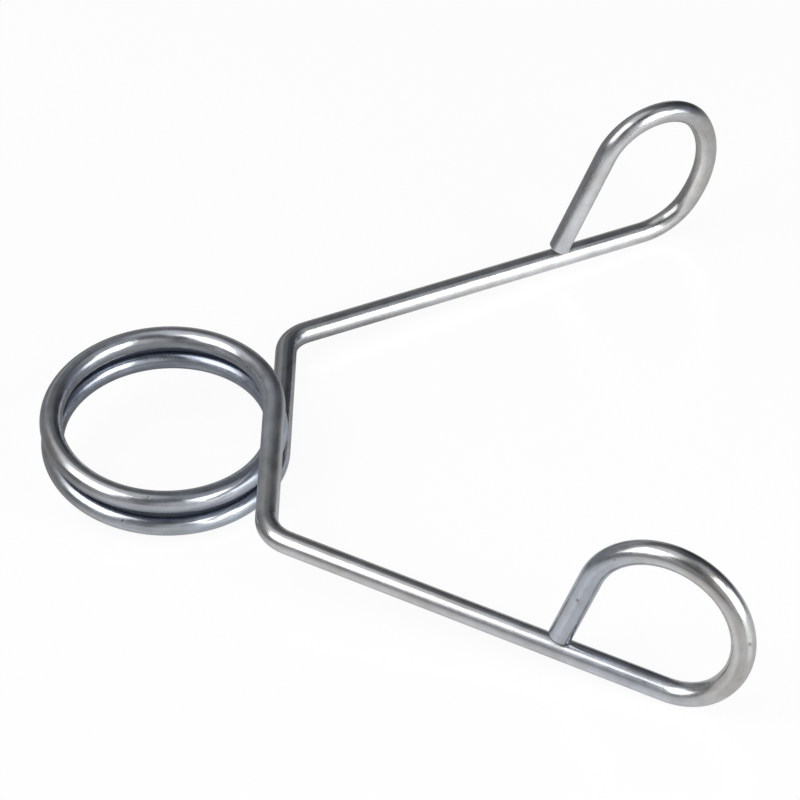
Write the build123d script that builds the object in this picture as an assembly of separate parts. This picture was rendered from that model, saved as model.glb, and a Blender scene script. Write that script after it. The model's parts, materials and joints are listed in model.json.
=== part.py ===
from build123d import *
from math import atan, cos, degrees, radians, sin, tan
import os

# Double torsion spring bent from one length of round wire, for gripping a round sleeve.
# Lengths are in millimetres and angles in degrees. It is drawn with the coil's axis upright,
# +X from the coil to the finger loops and +Y to the far arm, and is then laid down to rest.

# Wire
wire_diameter = 5.5
end_chamfer = 0.3  # break on the edge of each cut end

# Coil: a left-hand coil of close turns
coil_bore = 49.5
coil_turns = 2
turn_gap = 1.6  # clear gap between one turn and the next
end_spread = 0.3  # the first half turn is wound this much larger in radius, and the last this much smaller

# Legs: each leaves the coil at a tangent and turns a corner into its arm, square to the coil's axis
near_leg_length = 38.5
far_leg_length = 38.5
corner_radius = 9.0  # of the wire's centre line
near_corner_angle = 64.0
far_corner_angle = 63.5

# Arms: straight runs from the corners to the finger loops
near_arm_length = 95.0
far_arm_length = 99.0

# Finger loops: each curls up through a toe, a back and a crown, and its straight tail
# comes down to end on the top of its own arm. Radii are of the wire's centre line.
near_toe_radius = 14.5
near_toe_angle = 51.5
near_back_radius = 19.5
near_back_angle = 66.5
near_crown_radius = 18.5
near_tail_angle = 75.0  # between the tail and the arm
far_toe_radius = 14.5
far_toe_angle = 64.0
far_back_radius = 30.0
far_back_angle = 59.5
far_crown_radius = 15.0
far_tail_angle = 72.0
loop_lean = 6.5  # of each loop's plane from the upright, towards the other arm
tail_clearance = 0.15  # between the cut end of a tail and its arm

# Worked out from the sizes above
wire_radius = wire_diameter / 2
coil_radius = (coil_bore + wire_diameter) / 2
coil_pitch = wire_diameter + turn_gap
coil_height = coil_turns * coil_pitch

arcs_per_turn = 12  # of the coil
points_per_edge = 120  # along each stretch of wire, to find where it touches the table
rest_steps = 20
up = Vector(0, 0, 1)


class Bender:
    """Draws a centre line stretch by stretch, as a wire bender does."""

    def __init__(self, start, heading):
        self.point = start
        self.heading = heading
        self.edges = []

    def feed(self, length):
        """Adds a straight stretch."""
        end = self.point + self.heading * length
        self.edges.append(Edge.make_line(self.point, end))
        self.point = end

    def bend(self, towards, radius, angle):
        """Adds an arc that turns the heading in the direction of towards, square to it."""
        centre = self.point + towards * radius
        middle, end = (
            centre + (self.heading * sin(turn) - towards * cos(turn)) * radius
            for turn in (radians(angle / 2), radians(angle))
        )
        self.edges.append(Edge.make_three_point_arc(self.point, middle, end))
        turned = radians(angle)
        square = towards * cos(turned) - self.heading * sin(turned)
        self.heading = self.heading * cos(turned) + towards * sin(turned)
        self.point = end
        return square


def wind_coil():
    """The left-hand coil, with its middle turn centred on the origin: its edges and both its ends.

    It is wound from the far leg at its foot to the near leg at its top, as arcs that climb by a tip
    in their planes and meet with no kink.
    """
    half_step = radians(180 / arcs_per_turn)  # half of what an arc turns by, seen along the axis
    climb = atan(coil_pitch / arcs_per_turn / (2 * coil_radius * sin(half_step)))
    half_arc = atan(tan(half_step) * cos(climb))
    arc_radius = coil_radius * sin(half_step) / (sin(half_arc) * cos(climb))

    def directions(step):
        """At the middle of an arc: the way the wire runs, and the way to the coil's axis."""
        middle = -half_step * (2 * step + 1)
        runs = Vector(sin(middle), -cos(middle), 0) * cos(climb) + up * sin(climb)
        return runs, Vector(-cos(middle), -sin(middle), 0)

    runs, inward = directions(0)
    foot = Vector(coil_radius + 2 * end_spread, 0, -coil_height / 2)
    foot_heading = runs * cos(half_arc) - inward * sin(half_arc)
    bender = Bender(foot, foot_heading)
    steps = coil_turns * arcs_per_turn
    for step in range(steps):
        runs, inward = directions(step)
        towards = inward * cos(half_arc) + runs * sin(half_arc)
        spread = 0
        if step < arcs_per_turn / 2:
            spread = end_spread
        elif step >= steps - arcs_per_turn / 2:
            spread = -end_spread
        bender.bend(towards, arc_radius * (1 + spread / coil_radius), degrees(2 * half_arc))
    return bender.edges, (foot, foot_heading), (bender.point, bender.heading)


def draw_leg(bender, length, arm_heading):
    """A leg in line with the coil's end, and the corner that turns it into the level arm."""
    bender.feed(length)
    along = bender.heading.dot(arm_heading)
    towards = (arm_heading - bender.heading * along).normalized()
    bender.bend(towards, corner_radius, bender.heading.get_angle(arm_heading))


def draw_loop(bender, inward, toe, back, crown_radius, tail_angle):
    """A finger loop that ends where its tail meets the top of the arm it started from."""
    arm_line = bender.point
    lean = radians(loop_lean)
    upward = up * cos(lean) + inward * sin(lean)
    crown_angle = 180 + tail_angle - toe[1] - back[1]
    towards = upward
    for radius, angle in (toe, back, (crown_radius, crown_angle)):
        towards = bender.bend(towards, radius, angle)
    slope = radians(tail_angle)
    seat = 2 * wire_radius + tail_clearance - wire_radius * (1 - cos(slope))
    bender.feed(((bender.point - arm_line).dot(upward) - seat) / sin(slope))


def arm_direction(leg_heading, corner_angle, side):
    """The level heading of an arm; side is +1 where the corner turns left and -1 where right."""
    level = Vector(leg_heading.X, leg_heading.Y, 0).normalized()
    return level.rotate(Axis.Z, side * corner_angle)


def draw_side(start, heading, side, leg_length, corner_angle, arm_length, loop):
    """One leg, corner, arm and finger loop; gives the edges up to the arm and those of the loop."""
    bender = Bender(start, heading)
    arm_heading = arm_direction(heading, corner_angle, side)
    draw_leg(bender, leg_length, arm_heading)
    bender.feed(arm_length)
    inward = arm_heading.rotate(Axis.Z, side * 90)
    draw_loop(bender, inward, *loop)
    return bender.edges


def lowest_points(edges):
    """Points along some edges, close enough to find their lowest one."""
    return [edge.position_at(i / points_per_edge) for edge in edges for i in range(points_per_edge + 1)]


def find_rest(groups):
    """The direction that is up when the lowest point of each of three groups touches the table."""
    upright = up
    for _ in range(rest_steps):
        first, second, third = (min(points, key=upright.dot) for points in groups)
        upright = (second - first).cross(third - first).normalized()
    return upright


def build_spring():
    coil_edges, (foot, foot_heading), (top, top_heading) = wind_coil()
    near_edges = draw_side(
        top, top_heading, 1, near_leg_length, near_corner_angle, near_arm_length,
        ((near_toe_radius, near_toe_angle), (near_back_radius, near_back_angle),
         near_crown_radius, near_tail_angle),
    )
    far_edges = draw_side(
        foot, -foot_heading, -1, far_leg_length, far_corner_angle, far_arm_length,
        ((far_toe_radius, far_toe_angle), (far_back_radius, far_back_angle),
         far_crown_radius, far_tail_angle),
    )
    path = Wire([*far_edges, *coil_edges, *near_edges])
    section = Plane(path.position_at(0), z_dir=path.tangent_at(0)) * Circle(wire_radius)
    spring = sweep(section, path=path)
    ends = spring.faces().filter_by(GeomType.PLANE)
    spring = chamfer(ends.edges(), end_chamfer)

    upright = find_rest([lowest_points(edges) for edges in (coil_edges, near_edges, far_edges)])
    forward = Vector(1, 0, 0) - upright * upright.X
    spring = Plane((0, 0, 0), x_dir=forward, z_dir=upright).to_local_coords(spring)
    box = spring.bounding_box()
    return Pos(-box.center().X, -box.center().Y, -box.min.Z) * spring


os.makedirs("parts", exist_ok=True)
torsion_spring = build_spring()
export_step(torsion_spring, "parts/torsion_spring.step")
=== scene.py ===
import json
import math
import bpy
from mathutils import Matrix, Vector
from mathutils.kdtree import KDTree


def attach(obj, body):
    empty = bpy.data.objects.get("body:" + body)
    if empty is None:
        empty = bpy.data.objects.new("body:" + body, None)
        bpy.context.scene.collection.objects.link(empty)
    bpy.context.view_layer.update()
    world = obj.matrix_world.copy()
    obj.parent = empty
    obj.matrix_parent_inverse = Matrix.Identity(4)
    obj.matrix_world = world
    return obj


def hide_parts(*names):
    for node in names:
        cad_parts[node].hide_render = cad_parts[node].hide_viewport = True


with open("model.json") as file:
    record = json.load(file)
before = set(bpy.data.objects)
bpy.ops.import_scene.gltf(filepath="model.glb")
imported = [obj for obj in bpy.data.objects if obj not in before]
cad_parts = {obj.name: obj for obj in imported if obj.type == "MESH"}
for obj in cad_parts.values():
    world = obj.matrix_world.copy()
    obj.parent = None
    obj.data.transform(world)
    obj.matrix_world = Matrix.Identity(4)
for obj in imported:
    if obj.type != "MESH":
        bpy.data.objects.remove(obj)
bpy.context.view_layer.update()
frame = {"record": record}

print("frame loaded")


def opaque(colour, share=1.0):
    return (*[part * share for part in colour], 1.0)


# a shader socket: sums on it add Math nodes, and add() makes any other node
class Socket:
    def __init__(self, tree, link=None):
        self.tree = tree
        self.link = link

    def add(self, kind, settings=None, sockets=None, output=0):
        node = self.tree.nodes.new(kind)
        for name, value in (settings or {}).items():
            if name == "stops":
                ramp = node.color_ramp
                while len(ramp.elements) < len(value):
                    ramp.elements.new(1.0)
                for element, (place, colour) in zip(ramp.elements, value):
                    element.position = place
                    element.color = opaque(colour)
            else:
                setattr(node, name, value)
        for name, value in (sockets or {}).items():
            if isinstance(value, Socket):
                self.tree.links.new(value.link, node.inputs[name])
            else:
                node.inputs[name].default_value = value
        return Socket(self.tree, node.outputs[output])

    def maths(self, operation, *values, clamp=False):
        return self.add("ShaderNodeMath", {"operation": operation, "use_clamp": clamp},
                        dict(enumerate(values)))

    def __add__(self, other): return self.maths("ADD", self, other)
    def __radd__(self, other): return self.maths("ADD", other, self)
    def __sub__(self, other): return self.maths("SUBTRACT", self, other)
    def __rsub__(self, other): return self.maths("SUBTRACT", other, self)
    def __mul__(self, other): return self.maths("MULTIPLY", self, other)
    def __rmul__(self, other): return self.maths("MULTIPLY", other, self)
    def __truediv__(self, other): return self.maths("DIVIDE", self, other)
    def __rtruediv__(self, other): return self.maths("DIVIDE", other, self)

    # 0 below low, 1 above high, smooth between; low may be the larger of the two
    def step(self, low, high):
        return self.add("ShaderNodeMapRange", {"interpolation_type": "SMOOTHSTEP"},
                        {"Value": self, "From Min": low, "From Max": high})

    # first where this is 0, second where it is 1
    def blend(self, first, second):
        return self.add("ShaderNodeMix", {"data_type": "RGBA"}, {0: self, 6: first, 7: second}, 2)

    def part(self, axis):
        return self.add("ShaderNodeSeparateXYZ", {}, {"Vector": self}, axis)

    def distance(self, spot):
        return self.add("ShaderNodeVectorMath", {"operation": "DISTANCE"}, {0: self, 1: spot}, "Value")


def startTree(owner):
    owner.use_nodes = True
    owner.node_tree.nodes.clear()
    return Socket(owner.node_tree)


def plug(tree, shader, output, socket):
    end = tree.tree.nodes.new(output)
    tree.tree.links.new(shader.link, end.inputs[socket])


def deselectAll():
    if bpy.context.mode != "OBJECT":
        bpy.ops.object.mode_set(mode="OBJECT")
    bpy.ops.object.select_all(action="DESELECT")


# the wire is bent as on a bench: a ring of points is pushed straight or spun round a centre,
# and where it has been is kept, so that the finish can follow the wire
wireValues = {
    "diameter": 0.0055,
    "endChamfer": 0.0003,
    "sides": 48,
    "straightGap": 0.0024,  # between rings
    "bendGap": 0.0011,
    "capRings": (0.9, 0.75, 0.6),  # each ring's size on a cut face, as a share of the one outside it
    "smoothBelow": 35,  # degrees between faces
}
coilValues = {"bore": 0.0495, "turns": 2, "turnGap": 0.0016, "arcsPerTurn": 12,
              "endSpread": 0.0003}  # added to the first half turn's radius and taken off the last
sideValues = {  # lengths in metres, angles in degrees; toe and back are (radius, angle)
    "near": {"leg": 0.0385, "corner": (0.009, 64.0), "arm": 0.095, "toe": (0.0145, 51.5),
             "back": (0.0195, 66.5), "crown": 0.0185, "tail": 75.0},
    "far": {"leg": 0.0385, "corner": (0.009, 63.5), "arm": 0.099, "toe": (0.0145, 64.0),
            "back": (0.030, 59.5), "crown": 0.015, "tail": 72.0},
    "loopLean": 6.5,
    "tailClearance": 0.00015,
}
wireRadius = wireValues["diameter"] / 2
up = Vector((0, 0, 1))
stations = []  # centre, heading, side direction and distance along the wire of each ring

coilRadius = (coilValues["bore"] + wireValues["diameter"]) / 2
pitch = wireValues["diameter"] + coilValues["turnGap"]
halfStep = math.pi / coilValues["arcsPerTurn"]  # half of what an arc turns by, seen along the axis
climb = math.atan(pitch / coilValues["arcsPerTurn"] / (2 * coilRadius * math.sin(halfStep)))
halfArc = math.atan(math.tan(halfStep) * math.cos(climb))


def keepStation(tip):
    stations.append((tip["point"].copy(), tip["heading"].copy(), tip["side"].copy(), tip["along"]))


def pushStraight(tip, length, gap=None):
    steps = max(1, round(length / (gap or wireValues["straightGap"])))
    for _ in range(steps):
        move = tip["heading"] * (length / steps)
        bpy.ops.mesh.extrude_region_move(TRANSFORM_OT_translate={"value": move})
        tip["point"] += move
        tip["along"] += tip["way"] * length / steps
        keepStation(tip)


def bendWire(tip, towards, radius, angle):
    steps = max(2, round(radius * angle / wireValues["bendGap"]))
    centre = tip["point"] + towards * radius
    axis = tip["heading"].cross(towards).normalized()
    bpy.ops.mesh.spin(steps=steps, angle=-angle, center=centre, axis=axis, dupli=False)
    turn = Matrix.Rotation(angle / steps, 3, axis)
    for _ in range(steps):
        tip["point"] = centre + turn @ (tip["point"] - centre)
        tip["heading"] = turn @ tip["heading"]
        tip["side"] = turn @ tip["side"]
        towards = turn @ towards
        tip["along"] += tip["way"] * radius * angle / steps
        keepStation(tip)
    return towards


def cutEnd(tip):
    chamfer = wireValues["endChamfer"]
    pushStraight(tip, chamfer, chamfer)
    bpy.ops.transform.resize(value=[1 - chamfer / wireRadius] * 3, center_override=tip["point"])
    for shrink in wireValues["capRings"]:
        bpy.ops.mesh.extrude_region_move()
        bpy.ops.transform.resize(value=[shrink] * 3, center_override=tip["point"])
    bpy.ops.mesh.edge_face_add()


# the way the wire runs at the middle of an arc of the coil, and the way from there to the axis
def coilDirections(step):
    middle = -halfStep * (2 * step + 1)
    runs = Vector((math.sin(middle), -math.cos(middle), 0)) * math.cos(climb) + up * math.sin(climb)
    return runs, Vector((-math.cos(middle), -math.sin(middle), 0))


def windCoil(tip):
    arcRadius = coilRadius * math.sin(halfStep) / (math.sin(halfArc) * math.cos(climb))
    spread, halfTurn = coilValues["endSpread"], coilValues["arcsPerTurn"] // 2
    arcs = coilValues["turns"] * coilValues["arcsPerTurn"]
    for step in range(arcs):
        runs, inward = coilDirections(step)
        wider = (step < halfTurn) - (step >= arcs - halfTurn)
        bendWire(tip, inward * math.cos(halfArc) + runs * math.sin(halfArc),
                 arcRadius * (1 + wider * spread / coilRadius), 2 * halfArc)


def bendSide(tip, name, turnSide):
    values = sideValues[name]
    level = Vector((tip["heading"].x, tip["heading"].y, 0)).normalized()
    armHeading = Matrix.Rotation(turnSide * math.radians(values["corner"][1]), 3, "Z") @ level
    inward = Matrix.Rotation(turnSide * math.pi / 2, 3, "Z") @ armHeading
    pushStraight(tip, values["leg"])
    towards = (armHeading - tip["heading"] * tip["heading"].dot(armHeading)).normalized()
    bendWire(tip, towards, values["corner"][0], tip["heading"].angle(armHeading))
    pushStraight(tip, values["arm"])
    armPoint = tip["point"].copy()
    lean = math.radians(sideValues["loopLean"])
    upward = up * math.cos(lean) + inward * math.sin(lean)
    crownAngle = 180 + values["tail"] - values["toe"][1] - values["back"][1]
    towards = upward
    for radius, angle in (values["toe"], values["back"], (values["crown"], crownAngle)):
        towards = bendWire(tip, towards, radius, math.radians(angle))
    slope = math.radians(values["tail"])
    seat = wireValues["diameter"] + sideValues["tailClearance"] - wireRadius * (1 - math.cos(slope))
    tail = ((tip["point"] - armPoint).dot(upward) - seat) / math.sin(slope)
    pushStraight(tip, tail - wireValues["endChamfer"])
    cutEnd(tip)


runs, inward = coilDirections(0)
coilFoot = Vector((coilRadius + 2 * coilValues["endSpread"], 0, -coilValues["turns"] * pitch / 2))
footHeading = runs * math.cos(halfArc) - inward * math.sin(halfArc)
footTurn = footHeading.to_track_quat("Z", "X")


def startTip(way):
    return {"point": coilFoot.copy(), "heading": footHeading * way, "side": footTurn @ Vector((1, 0, 0)),
            "way": way, "along": 0.0}


deselectAll()
bpy.ops.mesh.primitive_circle_add(vertices=wireValues["sides"], radius=wireRadius,
                                  location=coilFoot, rotation=footTurn.to_euler())
wire = bpy.context.object
wire.name = "springWire"
bpy.ops.object.transform_apply(location=True, rotation=True, scale=True)
bpy.ops.object.mode_set(mode="EDIT")
bpy.ops.mesh.select_mode(type="VERT")
bpy.ops.mesh.select_all(action="SELECT")
tip = startTip(-1)
keepStation(tip)
bendSide(tip, "far", -1)
print("far side bent:", len(stations), "rings")

# the first ring is picked up again for the other way
bpy.ops.mesh.select_all(action="DESELECT")
bpy.ops.object.mode_set(mode="OBJECT")
for vertex in wire.data.vertices:
    vertex.select = vertex.index < wireValues["sides"]
bpy.ops.object.mode_set(mode="EDIT")
tip = startTip(1)
windCoil(tip)
coilLength = tip["along"]
bendSide(tip, "near", 1)
print("coil and near side bent:", len(stations), "rings")

bpy.ops.mesh.select_all(action="SELECT")
bpy.ops.mesh.normals_make_consistent(inside=False)
bpy.ops.object.mode_set(mode="OBJECT")

# each point's place on the wire as if it were pulled straight, for marks that follow the wire
rings = KDTree(len(stations))
for number, station in enumerate(stations):
    rings.insert(station[0], number)
rings.balance()
straight, onCutFace = [], []
for vertex in wire.data.vertices:
    centre, heading, side, along = stations[rings.find(vertex.co)[1]]
    offset = vertex.co - centre
    straight += [offset.dot(side), offset.dot(heading.cross(side)), along + offset.dot(heading)]
    onCutFace.append(float(offset.length < wireRadius - wireValues["endChamfer"] / 2))
wire.data.attributes.new("alongWire", "FLOAT_VECTOR", "POINT").data.foreach_set("vector", straight)
wire.data.attributes.new("cutFace", "FLOAT", "POINT").data.foreach_set("value", onCutFace)

# the coil's own axis is turned to where the spring rests
grip = [mount for mount in frame["record"]["mounts"] if mount["name"] == "coil_grip"][0]
axis = Vector(grip["axis"]).normalized()
across = Vector((axis.z, 0, -axis.x)).normalized()
rest = Matrix((across, axis.cross(across), axis)).transposed().to_4x4()
wire.matrix_world = Matrix.Translation(grip["pos_m"]) @ rest
bpy.ops.object.transform_apply(location=True, rotation=True, scale=True)
bpy.ops.object.shade_smooth_by_angle(angle=math.radians(wireValues["smoothBelow"]))
print("wire laid down:", len(wire.data.vertices), "points")

# mottles are (features per metre, their rate along the wire as a share of that across it, detail)
zincValues = {
    "warm": (0.700, 0.682, 0.650),
    "blue": (0.610, 0.660, 0.750),
    "dull": 0.72,  # the duller parts of the mottle, as a share of the clean plating
    "cloud": (70, 1.0, 3.0),
    "mottle": (420, 0.7, 5.0),
    "grain": (1900, 0.6, 2.0),
    "drawLines": (1500, 0.02, 2.0),
    # the plating is dull below the first number and clean above the second; the third is the share
    "cleanBy": {"cloud": (0.32, 0.62, 0.4), "mottle": (0.32, 0.64, 0.4), "drawLines": (0.3, 0.7, 0.2)},
    # how blue the plating is, from the far tail's end (0) to the near tail's end (1)
    "blueing": [(0.0, 0.5), (0.045, 0.3), (0.11, 0.1), (0.145, 0.4), (0.18, 0.3), (0.30, 0.4), (0.33, 0.95),
                (0.39, 0.5), (0.43, 0.9), (0.52, 1.0), (0.59, 0.35), (0.63, 0.6), (0.72, 0.6), (0.75, 0.25),
                (0.83, 0.35), (0.875, 0.75), (0.90, 0.1), (0.945, 0.2), (0.97, 0.85), (1.0, 0.75)],
    "blueingWander": 0.02,
    "blueingBy": {"cloud": 0.5, "mottle": 0.4},
    "pits": {"perMetre": 190, "size": (0.085, 0.045), "patches": (45, 1.0, 1.0), "pitted": (0.54, 0.62),
             "colour": (0.10, 0.09, 0.085), "strength": 0.85},
    "nicks": [((0.0427, -0.0813, 0.0233), 0.0007), ((0.0790, -0.0976, 0.0234), 0.0008)],  # place and radius
    "nickEdge": 0.3,  # the share of the radius that is dark all through
    "nickStrength": 0.6,
    "cutEnd": {"colour": (0.44, 0.44, 0.45), "strength": 0.6},
    # painted shade where the two turns face each other: the plating colour is darkened to navy there,
    # standing in for the shade between the turns; top and underside are the places across the wire, from -1
    # to 1, where it starts and where it is full
    "shadeBetweenTurns": {"colour": (0.13, 0.155, 0.215), "strength": 0.7, "top": (0.70, 1.0),
                 "underside": (-0.2, -0.7), "fadeAtFoot": 0.010, "fadeBetween": 0.012,
                 "fadeAtTop": (0.01, -0.03)},
    "rubbed": {"middle": 0.360, "half": 0.032, "edge": 0.4, "roughness": 0.17},  # a duller stretch
    "roughness": {"plating": 0.235, "mottle": 0.2, "drawLines": 0.12, "cloud": 0.1, "pits": 0.3,
                  "cutEnd": 0.15},
    "relief": {"depth": 0.000016, "mottle": 0.9, "grain": 0.35, "drawLines": 0.25, "pits": 2.5},
}


def wireNoise(place, perMetre, rateAlong, detail):
    spread = place.add("ShaderNodeVectorMath", {"operation": "MULTIPLY"}, {0: place, 1: (1, 1, rateAlong)})
    return place.add("ShaderNodeTexNoise", {}, {"Vector": spread, "Scale": perMetre, "Detail": detail})


zinc = bpy.data.materials.new("zincPlatedWire")
tree = startTree(zinc)
place = tree.add("ShaderNodeAttribute", {"attribute_name": "alongWire"}, output="Vector")
cut = tree.add("ShaderNodeAttribute", {"attribute_name": "cutFace"}, output="Fac")
along = place.part("Z")
marks = {name: wireNoise(place, *zincValues[name]) for name in ("cloud", "mottle", "grain", "drawLines")}
uneven = {name: mark - 0.5 for name, mark in marks.items()}

values = zincValues["pits"]
cells = place.add("ShaderNodeTexVoronoi", {}, {
    "Vector": place, "Scale": values["perMetre"], "Randomness": 1.0})
pits = cells.step(*values["size"]) * wireNoise(place, *values["patches"]).step(*values["pitted"])
onWire = tree.add("ShaderNodeTexCoord", output="Object")
for spot, radius in zincValues["nicks"]:
    nick = (onWire.distance(spot) + uneven["grain"] * radius).step(radius, radius * zincValues["nickEdge"])
    pits = pits.maths("MAXIMUM", pits, nick * zincValues["nickStrength"])

firstEnd = min(station[3] for station in stations)
lastEnd = max(station[3] for station in stations)
blueing = tree.add("ShaderNodeValToRGB", {"stops": [
    (stop, [value] * 3) for stop, value in zincValues["blueing"]]}, {
    "Fac": (along - firstEnd) / (lastEnd - firstEnd) + uneven["cloud"] * zincValues["blueingWander"]})
wander = sum(uneven[name] * share for name, share in zincValues["blueingBy"].items())
blueing = blueing.maths("ADD", blueing, wander, clamp=True)
warm, blue, share = zincValues["warm"], zincValues["blue"], zincValues["dull"]
clean = blueing.blend(opaque(warm), opaque(blue))
dull = blueing.blend(opaque(warm, share), opaque(blue, share))
tone = sum(marks[name].step(low, high) * share for name, (low, high, share) in zincValues["cleanBy"].items())
colour = tone.blend(dull, clean)

values = zincValues["shadeBetweenTurns"]
side = place.part("X") / wireRadius
atFoot, between, coilHalf = values["fadeAtFoot"], values["fadeBetween"], coilLength / 2
past, before = [coilLength + fade for fade in values["fadeAtTop"]]
lowerTurn = along.step(-atFoot, atFoot) * along.step(coilHalf + between, coilHalf - between)
upperTurn = along.step(coilHalf - between, coilHalf + between) * along.step(past, before)
# painted shade: the colour darkens to navy on the sides of the two turns that face each other, where shade
# falls between them
paintedShade = side.step(*values["top"]) * lowerTurn + side.step(*values["underside"]) * upperTurn
colour = (paintedShade * values["strength"]).blend(colour, opaque(values["colour"]))
for mask, values in ((cut, zincValues["cutEnd"]), (pits, zincValues["pits"])):
    colour = (mask * values["strength"]).blend(colour, opaque(values["colour"]))

values = zincValues["rubbed"]
offMiddle = along - values["middle"]
rubbed = offMiddle.maths("ABSOLUTE", offMiddle).step(values["half"], values["half"] * values["edge"])
rougher = rubbed * values["roughness"]
values = zincValues["roughness"]
rougher = rougher + pits * values["pits"] + cut * values["cutEnd"]
rougher = rougher + sum(uneven[name] * values[name] for name in ("mottle", "drawLines", "cloud"))
roughness = values["plating"] + rougher
values = zincValues["relief"]
height = sum(marks[name] * values[name] for name in ("mottle", "grain", "drawLines")) - pits * values["pits"]
relief = height.add("ShaderNodeBump", {}, {"Height": height, "Strength": 1.0, "Distance": values["depth"]})
steel = tree.add("ShaderNodeBsdfPrincipled", {}, {
    "Base Color": colour, "Metallic": 1.0, "Roughness": roughness, "Normal": relief})
plug(tree, steel, "ShaderNodeOutputMaterial", "Surface")
wire.data.materials.append(zinc)
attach(wire, "root")
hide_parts("torsion_spring")
print("wire finished")


def directionTo(azimuth, elevation):
    azimuth, elevation = math.radians(azimuth), math.radians(elevation)
    return Vector((math.sin(azimuth) * math.cos(elevation), math.cos(azimuth) * math.cos(elevation),
                   math.sin(elevation)))


def cameraRays(tree):
    return tree.add("ShaderNodeLightPath", output="Is Camera Ray")


def mirroredRays(tree):
    return tree.add("ShaderNodeLightPath", output="Is Glossy Ray") + tree.add(
        "ShaderNodeLightPath", output="Is Transmission Ray")


floorValues = {
    "size": 12.0, "colour": 0.80, "gloss": 2.2, "roughness": 0.22,
    "seenWhite": 0.88, "white": 1.05,
    # how white the metal sees the floor: dim behind and to the left, brighter in front and to the
    # right, and brightest in a pool of light at the far loop
    "mirroredShare": 0.5, "dim": 0.10, "bright": 0.75, "slope": 1.0, "ramp": (-0.09, 0.02),
    "reach": (0.40, 0.14), "pool": (0.050, 0.052, 0.0), "poolReach": (0.060, 0.015), "poolExtra": 0.85,
}
deselectAll()
bpy.ops.mesh.primitive_plane_add(size=floorValues["size"], location=(0, 0, 0))
floor = bpy.context.object
floor.name = "floor"
paper = bpy.data.materials.new("whiteSheet")
tree = startTree(paper)
seen = cameraRays(tree)
spot = tree.add("ShaderNodeTexCoord", output="Object")
whiter = (spot.part("X") - spot.part("Y") * floorValues["slope"]).step(*floorValues["ramp"])
whiter = whiter * spot.distance((0, 0, 0)).step(*floorValues["reach"])
inPool = spot.distance(floorValues["pool"]).step(*floorValues["poolReach"]) * floorValues["poolExtra"]
level = floorValues["dim"] + whiter * (floorValues["bright"] - floorValues["dim"]) + inPool
glow = level.add("ShaderNodeCombineXYZ", {}, {"X": level, "Y": level, "Z": level})
white = tree.add("ShaderNodeEmission", {}, {
    "Strength": 1.0, "Color": seen.blend(glow, opaque([floorValues["white"]] * 3))})
sheet = tree.add("ShaderNodeBsdfPrincipled", {}, {
    "Base Color": opaque([floorValues["colour"]] * 3), "IOR": floorValues["gloss"],
    "Roughness": floorValues["roughness"]})
factor = seen * floorValues["seenWhite"] + mirroredRays(tree) * floorValues["mirroredShare"]
plug(tree, tree.add("ShaderNodeMixShader", {}, {0: factor, 1: sheet, 2: white}),
     "ShaderNodeOutputMaterial", "Surface")
floor.data.materials.append(paper)

# soft boxes: azimuth from +Y towards +X and elevation of each lamp's middle, in degrees; the level
# is how bright a lamp looks, 1 being white
lampValues = {
    "left": {"azimuth": -120, "elevation": 46, "distance": 0.95, "size": (0.64, 0.74), "level": 2.5,
             "colour": (1.0, 1.0, 1.0)},
    "right": {"azimuth": 131, "elevation": 22, "distance": 0.95, "size": (0.52, 0.72), "level": 3.8,
              "colour": (1.0, 1.0, 1.0)},
    "rightSide": {"azimuth": 105, "elevation": 12, "distance": 0.95, "size": (0.36, 0.52), "level": 1.9,
                  "colour": (0.90, 0.95, 1.0)},
}
for name, values in lampValues.items():
    direction = directionTo(values["azimuth"], values["elevation"])
    light = bpy.data.lights.new(name + "SoftBox", "AREA")
    light.shape = "RECTANGLE"
    light.size, light.size_y = values["size"]
    light.energy = values["level"] * math.pi * light.size * light.size_y
    light.color = values["colour"]
    lamp = bpy.data.objects.new(light.name, light)
    bpy.context.scene.collection.objects.link(lamp)
    lamp.location = direction * values["distance"]
    lamp.rotation_euler = direction.to_track_quat("Z", "Y").to_euler()
    lamp.visible_camera = False

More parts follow.
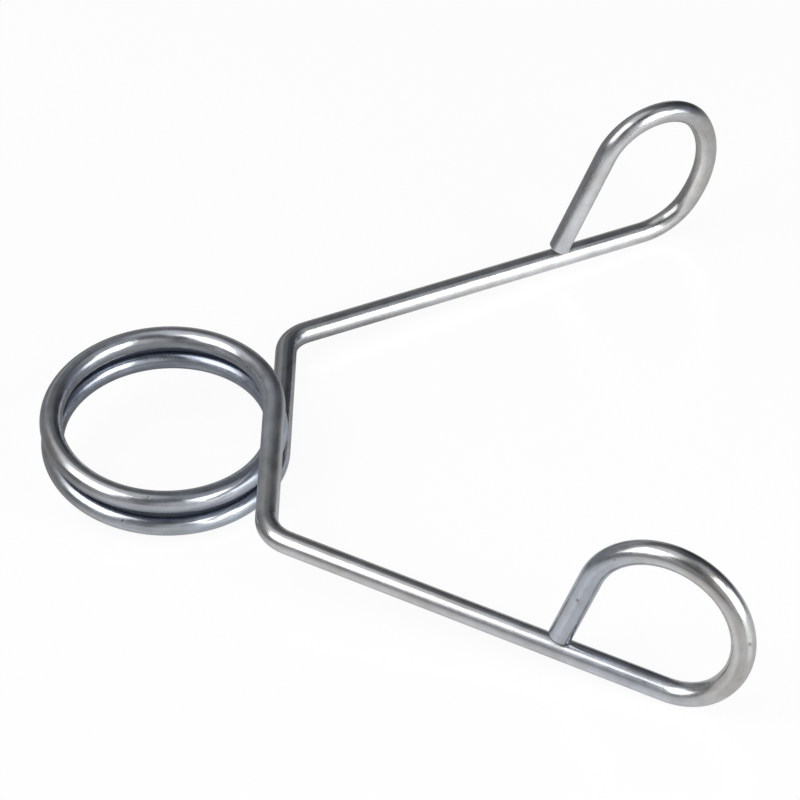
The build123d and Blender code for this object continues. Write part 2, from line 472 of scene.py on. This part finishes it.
# the room: a dark grey dome with paler and bluer parts, seen white by the camera.
# Each patch is azimuth, elevation, the angles at which it is full and gone, and its colour
roomValues = {
    "mirroredShare": 0.04,  # how much of the white the metal sees; the colours below include it
    "dark": (0.15, 0.15, 0.155),
    "patches": [
        (35, 22, 16, 42, (0.048, 0.050, 0.056)),
        (178, 60, 18, 50, (0.085, 0.09, 0.10)),
        (45, 62, 12, 30, (0.085, 0.09, 0.11)),
        (8, 50, 6, 18, (0.16, 0.165, 0.175)),
        (-60, 20, 15, 42, (0.23, 0.23, 0.235)),
        (-28, 26, 7, 20, (0.33, 0.345, 0.355)),
        (0, 8, 6, 18, (0.42, 0.41, 0.40)),
        (-88, 71, 16, 34, (0.74, 0.75, 0.76)),
        (-140, 10, 10, 30, (0.34, 0.34, 0.35)),
        (106, 58, 8, 26, (0.40, 0.41, 0.43)),
        (155, 8, 14, 38, (0.50, 0.50, 0.50)),
        (84, 12, 10, 26, (0.17, 0.19, 0.25)),
    ],
}


def roomColour(colour):
    share = roomValues["mirroredShare"]
    return opaque([(part - share) / (1 - share) for part in colour])


world = bpy.data.worlds.new("room")
bpy.context.scene.world = world
tree = startTree(world)
outward = tree.add("ShaderNodeTexCoord", output="Generated")
colour = roomColour(roomValues["dark"])
for azimuth, elevation, full, gone, patchColour in roomValues["patches"]:
    nearness = outward.add("ShaderNodeVectorMath", {"operation": "DOT_PRODUCT"}, {
        0: outward, 1: directionTo(azimuth, elevation)}, "Value")
    patch = nearness.step(math.cos(math.radians(gone)), math.cos(math.radians(full)))
    colour = patch.blend(colour, roomColour(patchColour))
room = tree.add("ShaderNodeBackground", {}, {"Color": colour, "Strength": 1.0})
white = tree.add("ShaderNodeBackground", {}, {"Color": (1, 1, 1, 1), "Strength": 1.0})
factor = cameraRays(tree) + mirroredRays(tree) * roomValues["mirroredShare"]
plug(tree, tree.add("ShaderNodeMixShader", {}, {0: factor, 1: room, 2: white}),
     "ShaderNodeOutputWorld", "Surface")
print("stage and lamps set")

cameraValues = {"place": (0.032989, -0.562562, 0.446133), "turn": (52.7276, 3.2067, 0.6612), "lens": 131.149,
                "sensor": 36, "clipStart": 0.01}
lens = bpy.data.cameras.new("camera")
lens.lens = cameraValues["lens"]
lens.sensor_width = cameraValues["sensor"]
lens.clip_start = cameraValues["clipStart"]
camera = bpy.data.objects.new("camera", lens)
bpy.context.scene.collection.objects.link(camera)
camera.location = cameraValues["place"]
camera.rotation_euler = [math.radians(angle) for angle in cameraValues["turn"]]
bpy.context.scene.camera = camera
bpy.context.scene.view_settings.view_transform = "Standard"
